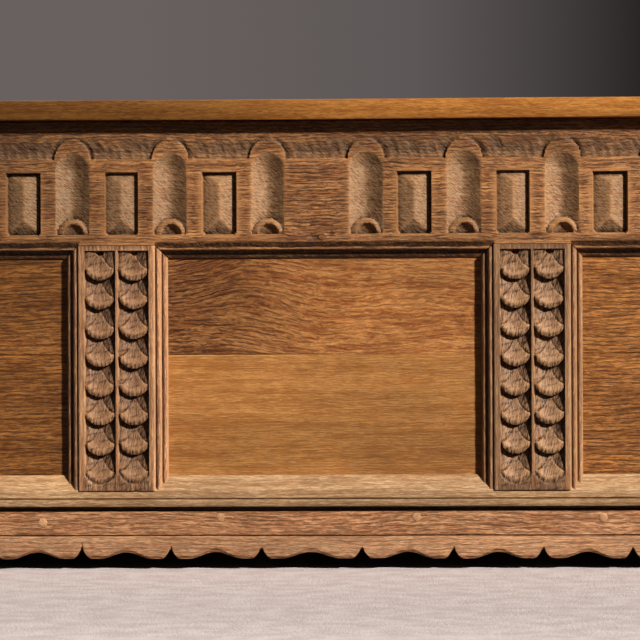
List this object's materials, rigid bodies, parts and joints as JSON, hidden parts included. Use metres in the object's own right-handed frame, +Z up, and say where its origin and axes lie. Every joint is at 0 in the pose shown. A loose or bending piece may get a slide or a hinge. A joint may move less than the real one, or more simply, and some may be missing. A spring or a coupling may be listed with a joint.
{
  "type": "coffer chest",
  "caption": "Joined oak coffer: carved and panelled front, framed back and ends on post feet, boarded floor, plank lid on rear iron hinges.",
  "frame": {"origin": "on the floor under the middle of the closed chest's box, lid and hinge barrels included", "axes": "+X along the length, the carved front faces -Y, +Z up"},
  "size_m": [1.653, 0.5336, 0.5648],
  "materials": {
    "oak_brown": "old waxed oak, mid brown with dark open grain, worn pale on the arrises",
    "oak_gold": "old waxed oak, golden brown, smooth and polished by use",
    "oak_pale": "old oak, pale and dry on the high carving and dark in the hollows",
    "oak_dry": "unwaxed riven oak, dull grey brown",
    "peg_oak": "pale end grain of newer oak pegs",
    "iron": "dark wrought iron with a little rust"
  },
  "bodies": {
    "chest": {"apron_peg_1": "peg_oak", "apron_peg_2": "peg_oak", "apron_peg_3": "peg_oak", "apron_peg_4": "peg_oak", "apron_peg_5": "peg_oak", "apron_peg_6": "peg_oak", "back_bottom_rail": "oak_dry", "back_muntin_1": "oak_dry", "back_muntin_2": "oak_dry", "back_panel_1": "oak_dry", "back_panel_2": "oak_dry", "back_panel_3": "oak_dry", "back_post_left": "oak_dry", "back_post_right": "oak_dry", "back_top_rail": "oak_dry", "floor_board_1": "oak_dry", "floor_board_2": "oak_dry", "floor_board_3": "oak_dry", "floor_board_4": "oak_dry", "floor_board_5": "oak_dry", "floor_board_6": "oak_dry", "frieze_peg": "peg_oak", "front_apron": "oak_pale", "front_bottom_rail": "oak_brown", "front_muntin_left": "oak_pale", "front_muntin_right": "oak_pale", "front_panel_centre_lower": "oak_gold", "front_panel_centre_upper": "oak_gold", "front_panel_left_lower": "oak_gold", "front_panel_left_upper": "oak_gold", "front_panel_right_lower": "oak_gold", "front_panel_right_upper": "oak_gold", "front_post_left": "oak_pale", "front_post_right": "oak_pale", "front_top_rail": "oak_brown", "hinge_left_back_leaf": "iron", "hinge_left_pin": "iron", "hinge_right_back_leaf": "iron", "hinge_right_pin": "iron", "left_end_bottom_rail": "oak_dry", "left_end_muntin": "oak_dry", "left_end_panel_1": "oak_dry", "left_end_panel_2": "oak_dry", "left_end_top_rail": "oak_dry", "right_end_bottom_rail": "oak_dry", "right_end_muntin": "oak_dry", "right_end_panel_1": "oak_dry", "right_end_panel_2": "oak_dry", "right_end_top_rail": "oak_dry"},
    "lid": {"hinge_left_lid_leaf": "iron", "hinge_right_lid_leaf": "iron", "lid_cleat_left": "oak_gold", "lid_cleat_right": "oak_gold", "lid_plank_front": "oak_gold", "lid_plank_middle": "oak_gold", "lid_plank_rear": "oak_gold"}
  },
  "joints": [
    {"name": "lid_hinge", "type": "hinge", "parent": "chest", "child": "lid", "pos_m": [0, 0.26025, 0.5405], "axis": [-1, 0, 0], "range_deg": [0, 100]}
  ]
}
